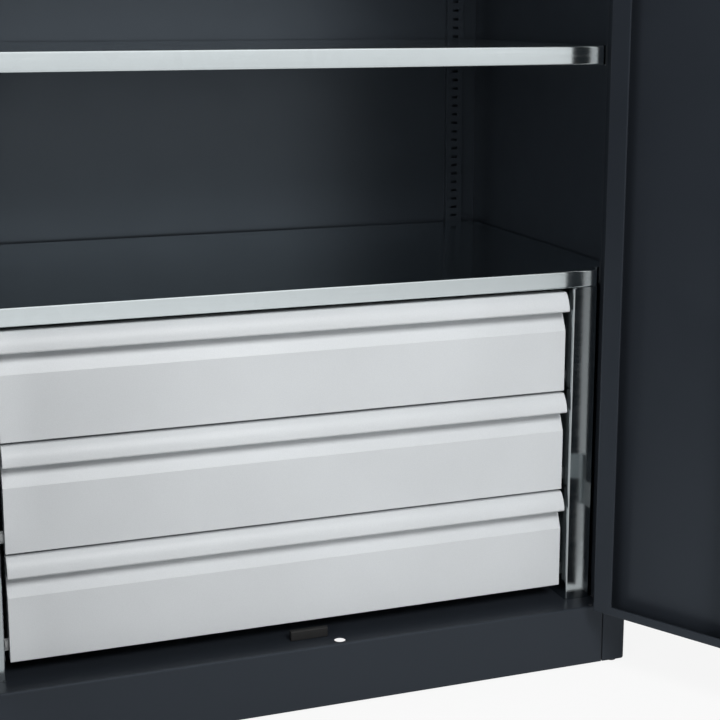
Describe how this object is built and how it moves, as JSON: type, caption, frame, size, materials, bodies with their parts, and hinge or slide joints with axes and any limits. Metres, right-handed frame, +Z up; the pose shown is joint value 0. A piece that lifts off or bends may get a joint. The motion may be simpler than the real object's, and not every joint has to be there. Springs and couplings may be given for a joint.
{
  "type": "heavy-duty storage cabinet",
  "caption": "Tall steel cabinet with hinged double doors, adjustable galvanised shelves and telescopic drawers behind the doors, closed by a turning handle with lock rods.",
  "frame": {"origin": "middle of the carcass footprint on the floor", "axes": "+Z up, +X to the right as seen from the front, +Y from the doors to the back wall"},
  "size_m": [1.3804, 1.0344, 1.95],
  "materials": {
    "anthracite_paint": "fine satin powder coat",
    "light_grey_paint": "satin powder coat",
    "galvanised_steel": "smooth galvanised sheet with blurred reflections",
    "zinc_plated_steel": "zinc plated",
    "black_plastic": "fine moulded grain",
    "polished_metal": "nickel plated"
  },
  "bodies": {
    "carcass": {"back_panel": "anthracite_paint", "drawer_1_outer_runners": "zinc_plated_steel", "drawer_2_outer_runners": "zinc_plated_steel", "drawer_3_outer_runners": "zinc_plated_steel", "drawer_cover_shelf": "galvanised_steel", "floor_panel": "anthracite_paint", "foot_plates": "anthracite_paint", "front_header": "anthracite_paint", "left_cassette_panel": "galvanised_steel", "left_front_post": "anthracite_paint", "left_front_slot_rail": "anthracite_paint", "left_hinge_pins": "zinc_plated_steel", "left_post_knuckles": "zinc_plated_steel", "left_rear_slot_rail": "anthracite_paint", "left_side_panel": "anthracite_paint", "levelling_feet": "black_plastic", "lower_door_stop": "black_plastic", "lower_shelf": "galvanised_steel", "middle_shelf": "galvanised_steel", "right_cassette_panel": "galvanised_steel", "right_front_post": "anthracite_paint", "right_front_slot_rail": "anthracite_paint", "right_hinge_pins": "zinc_plated_steel", "right_post_knuckles": "zinc_plated_steel", "right_rear_slot_rail": "anthracite_paint", "right_side_panel": "anthracite_paint", "shelf_clips": "zinc_plated_steel", "top_panel": "anthracite_paint", "upper_door_stop": "black_plastic", "upper_shelf": "galvanised_steel"},
    "right_door": {"lock_plate": "polished_metal", "right_door": "anthracite_paint", "right_door_knuckles": "zinc_plated_steel", "right_door_stiffener": "anthracite_paint", "rod_guides": "black_plastic"},
    "left_door": {"door_strike_strip": "anthracite_paint", "left_door": "anthracite_paint", "left_door_knuckles": "zinc_plated_steel", "left_door_stiffener": "anthracite_paint"},
    "lock_handle": {"lock_cam": "zinc_plated_steel", "lock_handle": "black_plastic"},
    "key_cylinder": {"key_cylinder": "polished_metal"},
    "lower_lock_rod": {"lower_lock_rod": "zinc_plated_steel"},
    "upper_lock_rod": {"upper_lock_rod": "zinc_plated_steel"},
    "drawer_1": {"drawer_1_front": "light_grey_paint", "drawer_1_inner_runners": "zinc_plated_steel", "drawer_1_tray": "light_grey_paint"},
    "drawer_1_middle_runners": {"drawer_1_middle_runners": "zinc_plated_steel"},
    "drawer_2": {"drawer_2_front": "light_grey_paint", "drawer_2_inner_runners": "zinc_plated_steel", "drawer_2_tray": "light_grey_paint"},
    "drawer_2_middle_runners": {"drawer_2_middle_runners": "zinc_plated_steel"},
    "drawer_3": {"drawer_3_front": "light_grey_paint", "drawer_3_inner_runners": "zinc_plated_steel", "drawer_3_tray": "light_grey_paint"},
    "drawer_3_middle_runners": {"drawer_3_middle_runners": "zinc_plated_steel"}
  },
  "joints": [
    {"name": "right_door_hinge", "type": "hinge", "parent": "carcass", "child": "right_door", "pos_m": [0.461, -0.3055, 0], "axis": [0, 0, 1], "range_deg": [-120, 0]},
    {"name": "left_door_hinge", "type": "hinge", "parent": "carcass", "child": "left_door", "pos_m": [-0.461, -0.3055, 0], "axis": [0, 0, -1], "range_deg": [-120, 0]},
    {"name": "drawer_1_slide", "type": "slide", "parent": "carcass", "child": "drawer_1", "axis": [0, -1, 0], "range_m": [0, 0.45]},
    {"name": "drawer_1_runner_slide", "type": "slide", "parent": "carcass", "child": "drawer_1_middle_runners", "axis": [0, -1, 0], "range_m": [0, 0.225]},
    {"name": "drawer_2_slide", "type": "slide", "parent": "carcass", "child": "drawer_2", "axis": [0, -1, 0], "range_m": [0, 0.45]},
    {"name": "drawer_2_runner_slide", "type": "slide", "parent": "carcass", "child": "drawer_2_middle_runners", "axis": [0, -1, 0], "range_m": [0, 0.225]},
    {"name": "drawer_3_slide", "type": "slide", "parent": "carcass", "child": "drawer_3", "axis": [0, -1, 0], "range_m": [0, 0.45]},
    {"name": "drawer_3_runner_slide", "type": "slide", "parent": "carcass", "child": "drawer_3_middle_runners", "axis": [0, -1, 0], "range_m": [0, 0.225]},
    {"name": "lock_handle_turn", "type": "hinge", "parent": "right_door", "child": "lock_handle", "pos_m": [0.66324, -0.66678, 1], "axis": [-0.866, -0.5, 0], "range_deg": [0, 90]},
    {"name": "key_turn", "type": "hinge", "parent": "right_door", "child": "key_cylinder", "pos_m": [0.66324, -0.66678, 0.944], "axis": [-0.866, -0.5, 0], "range_deg": [0, 90]},
    {"name": "lower_rod_slide", "type": "slide", "parent": "right_door", "child": "lower_lock_rod", "axis": [0, 0, -1], "range_m": [0, 0.0181]},
    {"name": "upper_rod_slide", "type": "slide", "parent": "right_door", "child": "upper_lock_rod", "axis": [0, 0, 1], "range_m": [0, 0.0181]}
  ],
  "couplings": [
    {"joint": "drawer_1_runner_slide", "follows": "drawer_1_slide", "ratio": 0.5},
    {"joint": "drawer_2_runner_slide", "follows": "drawer_2_slide", "ratio": 0.5},
    {"joint": "drawer_3_runner_slide", "follows": "drawer_3_slide", "ratio": 0.5},
    {"joint": "lower_rod_slide", "follows": "lock_handle_turn", "m_per_rad": 0.011459},
    {"joint": "upper_rod_slide", "follows": "lock_handle_turn", "m_per_rad": 0.011459}
  ]
}
